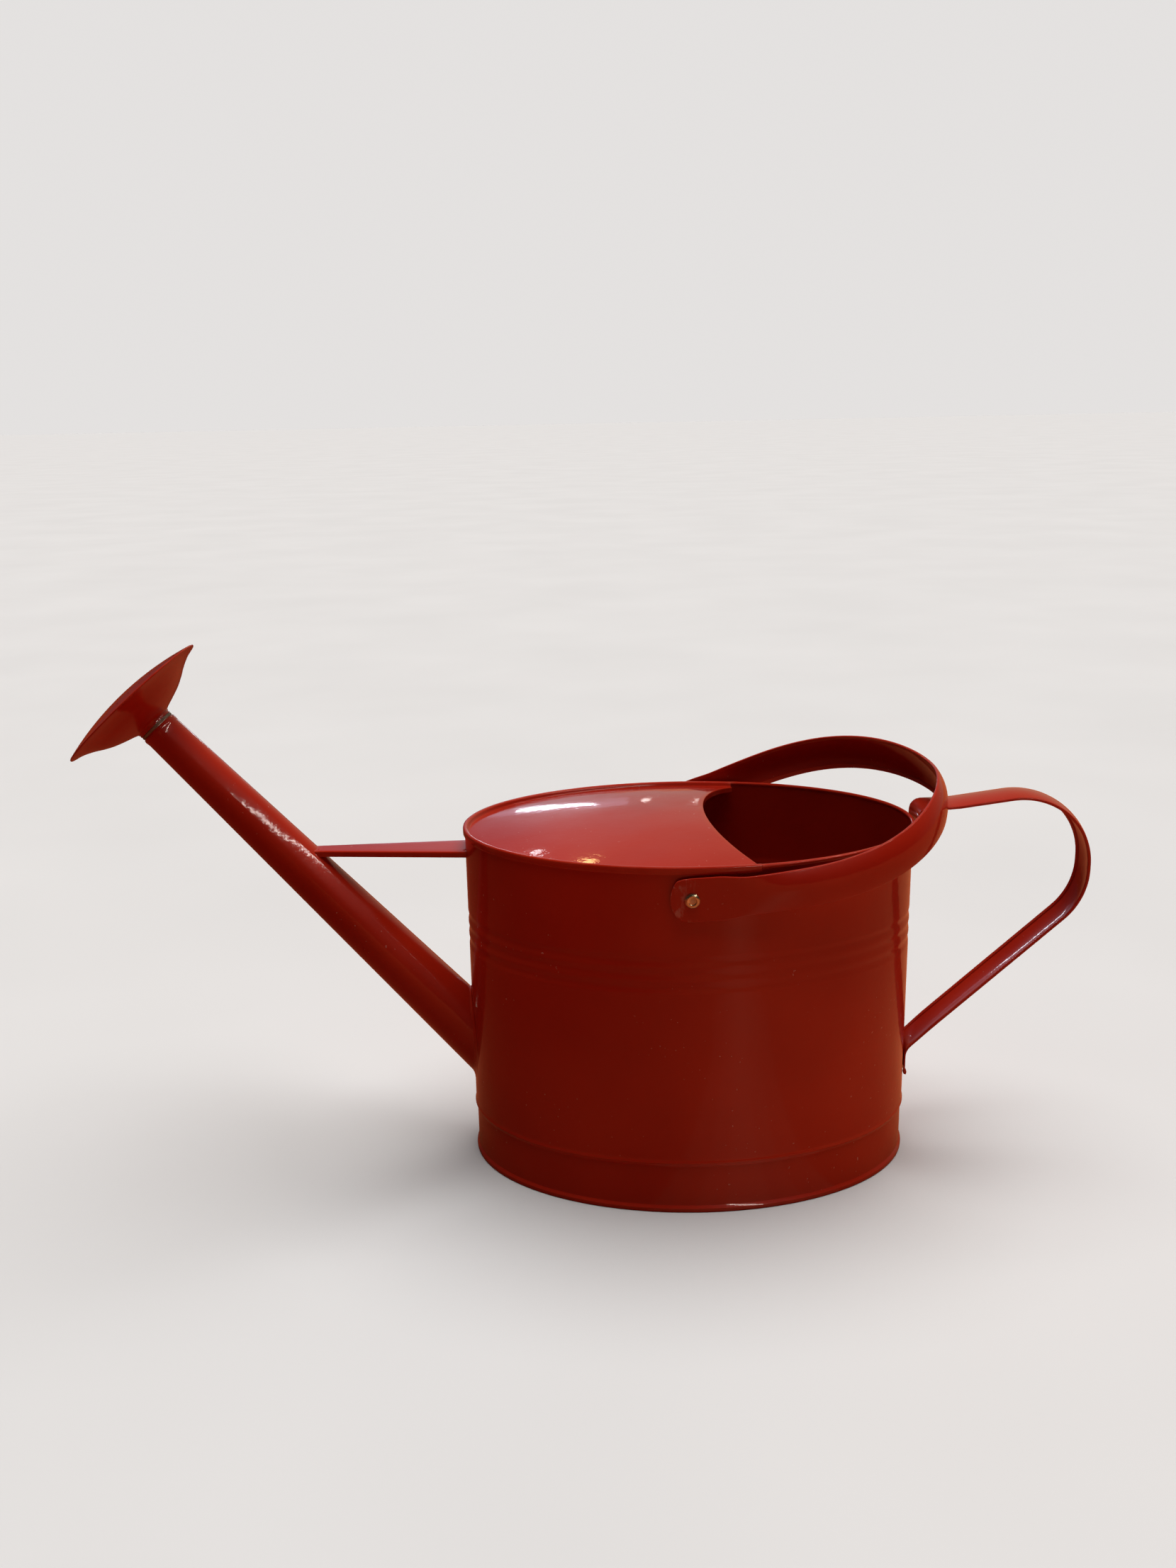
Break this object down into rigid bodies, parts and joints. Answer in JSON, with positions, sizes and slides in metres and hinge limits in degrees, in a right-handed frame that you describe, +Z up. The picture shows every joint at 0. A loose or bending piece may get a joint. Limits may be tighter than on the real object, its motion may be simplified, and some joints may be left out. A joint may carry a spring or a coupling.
{
  "type": "watering can",
  "caption": "Oval painted steel watering can with a crowned half cover, straight tapered spout with a round rose, strap rear handle and swinging bail.",
  "frame": {"origin": "centre of the oval footprint, on the plane the can stands on", "axes": "+X towards the rear handle, -X towards the spout, +Z up, Y across the can along the bail's hinge"},
  "size_m": [0.6318, 0.1942, 0.3365],
  "materials": {
    "red_enamel": "gloss",
    "painted_solder": "gloss",
    "bare_steel": "satin",
    "rivet_metal": "satin",
    "mandrel_steel": "satin",
    "seal_rubber": "matte"
  },
  "bodies": {
    "can": {"body_shell": "red_enamel", "rim_wire": "bare_steel", "base_plate": "red_enamel", "base_solder": "painted_solder", "front_cover": "red_enamel", "spout_tube": "red_enamel", "spout_solder": "painted_solder", "spout_ferrule": "bare_steel", "spout_brace": "red_enamel", "brace_solder": "painted_solder", "rear_handle": "red_enamel", "handle_solder": "painted_solder", "bail_rivets": "rivet_metal", "rivet_mandrels": "mandrel_steel", "inner_washers": "bare_steel", "bail_spacers": "bare_steel"},
    "bail": {"bail": "red_enamel"},
    "rose_seal": {"rose_seal": "seal_rubber"},
    "rose": {"rose_cone": "red_enamel", "rose_face": "red_enamel"}
  },
  "joints": [
    {"name": "bail_swing", "type": "hinge", "parent": "can", "child": "bail", "pos_m": [-0.0035, 0, 0.2012], "axis": [0, -1, 0], "range_deg": [0, 155]},
    {"name": "rose_slide", "type": "slide", "parent": "can", "child": "rose_seal", "axis": [-0.6722, 0, 0.7403], "range_m": [0, 0.06]},
    {"name": "rose_turn", "type": "hinge", "parent": "rose_seal", "child": "rose", "pos_m": [-0.32688, 0, 0.28621], "axis": [-0.6722, 0, 0.7403], "continuous": true}
  ]
}
